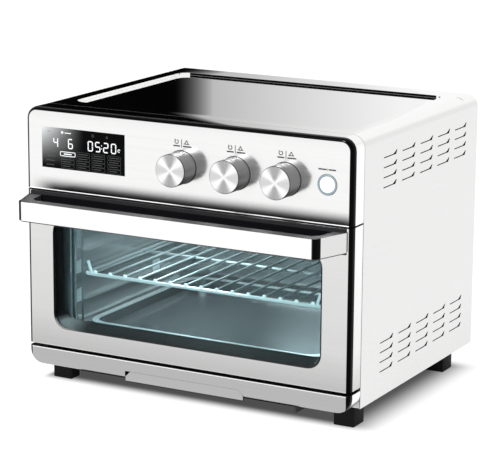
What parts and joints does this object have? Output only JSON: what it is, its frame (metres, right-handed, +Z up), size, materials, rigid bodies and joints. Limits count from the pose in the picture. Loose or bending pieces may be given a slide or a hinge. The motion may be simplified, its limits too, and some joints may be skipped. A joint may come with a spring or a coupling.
{
  "type": "toaster oven",
  "caption": "Stainless countertop convection oven with a drop-down glass door, full-width bar handle, digital panel with turning knobs, wire rack, baking tray and slide-out crumb tray.",
  "frame": {"origin": "centre of the bounding box in plan, on the table surface under the feet", "axes": "+X to the right of someone facing the oven, +Y from its front to its rear, +Z up"},
  "size_m": [0.41, 0.3882, 0.3254],
  "materials": {
    "brushed_stainless": "bright, fine horizontal brushing",
    "galvanised_steel": "dull zinc-coated sheet",
    "grey_enamel": "semi-matt grey coating on sheet steel",
    "polished_wire": "bright plated wire",
    "heater_sheath": "dark oxidised metal sheath",
    "black_rubber": "matt",
    "black_plastic": "satin moulded",
    "gloss_black": "polished black",
    "circuit_board": "solder mask",
    "motor_steel": "laminated steel and copper winding",
    "pale_plastic": "pale blue-white, lit from behind",
    "clear_glass": "clear toughened glass with a blue-green tint"
  },
  "bodies": {
    "oven": {"outer_casing": "brushed_stainless", "control_panel": "brushed_stainless", "sill_panel": "brushed_stainless", "button_ring": "brushed_stainless", "rear_panel": "galvanised_steel", "base_plate": "galvanised_steel", "front_frame": "galvanised_steel", "tray_runner_left": "galvanised_steel", "tray_runner_right": "galvanised_steel", "hinge_bracket_left": "galvanised_steel", "hinge_bracket_right": "galvanised_steel", "temperature_probe": "galvanised_steel", "cavity_wall_left": "grey_enamel", "cavity_wall_right": "grey_enamel", "cavity_rear": "grey_enamel", "cavity_floor": "grey_enamel", "cavity_top": "grey_enamel", "rack_guide_left": "grey_enamel", "rack_guide_right": "grey_enamel", "baking_tray": "grey_enamel", "fan_guard": "grey_enamel", "fan_housing": "grey_enamel", "heater_lower_front": "heater_sheath", "heater_lower_rear": "heater_sheath", "heater_upper_front": "heater_sheath", "heater_upper_rear": "heater_sheath", "foot_front_left": "black_rubber", "foot_front_right": "black_rubber", "foot_rear_left": "black_rubber", "foot_rear_right": "black_rubber", "display_module": "black_plastic", "encoder_temperature": "black_plastic", "encoder_time": "black_plastic", "encoder_function": "black_plastic", "button_switch": "black_plastic", "cord_gland": "black_plastic", "display_glass": "gloss_black", "control_board": "circuit_board", "power_board": "circuit_board", "fan_motor": "motor_steel"},
    "door": {"door_frame": "brushed_stainless", "door_glass_outer": "clear_glass", "door_glass_inner": "clear_glass", "door_inner_panel": "grey_enamel", "door_top_trim": "gloss_black", "handle_band": "brushed_stainless", "handle_core": "black_plastic", "hinge_pin_left": "galvanised_steel", "hinge_pin_right": "galvanised_steel"},
    "temperature_knob": {"knob_temperature": "brushed_stainless"},
    "time_knob": {"knob_time": "brushed_stainless"},
    "function_knob": {"knob_function": "brushed_stainless"},
    "start_button": {"start_button": "pale_plastic"},
    "crumb_drawer": {"crumb_tray": "grey_enamel", "crumb_tray_lip": "brushed_stainless"},
    "rack": {"wire_rack": "polished_wire"},
    "fan_rotor": {"fan_blade": "galvanised_steel", "fan_shaft": "galvanised_steel", "cooling_fan": "galvanised_steel"}
  },
  "joints": [
    {"name": "door_hinge", "type": "hinge", "parent": "oven", "child": "door", "pos_m": [0, -0.1419, 0.054], "axis": [1, 0, 0], "range_deg": [0, 88]},
    {"name": "temperature_knob_turn", "type": "hinge", "parent": "oven", "child": "temperature_knob", "pos_m": [-0.002, -0.1724, 0.2754], "axis": [0, 1, 0], "continuous": true},
    {"name": "time_knob_turn", "type": "hinge", "parent": "oven", "child": "time_knob", "pos_m": [0.0646, -0.1724, 0.2754], "axis": [0, 1, 0], "continuous": true},
    {"name": "function_knob_turn", "type": "hinge", "parent": "oven", "child": "function_knob", "pos_m": [0.1259, -0.1724, 0.2754], "axis": [0, 1, 0], "continuous": true},
    {"name": "start_press", "type": "slide", "parent": "oven", "child": "start_button", "axis": [0, 1, 0], "range_m": [0, 0.0015], "stiffness_N_per_m": 400, "springref_m": -0.0005},
    {"name": "crumb_tray_slide", "type": "slide", "parent": "oven", "child": "crumb_drawer", "axis": [0, 1, 0], "range_m": [-0.25, 0]},
    {"name": "rack_slide", "type": "slide", "parent": "oven", "child": "rack", "axis": [0, -1, 0], "range_m": [0, 0.0925]},
    {"name": "fan_spin", "type": "hinge", "parent": "oven", "child": "fan_rotor", "pos_m": [0, 0.0181, 0.24], "axis": [0, 0, 1], "continuous": true}
  ],
  "couplings": [
    {"joint": "rack_slide", "follows": "door_hinge", "m_per_rad": 0.06}
  ]
}
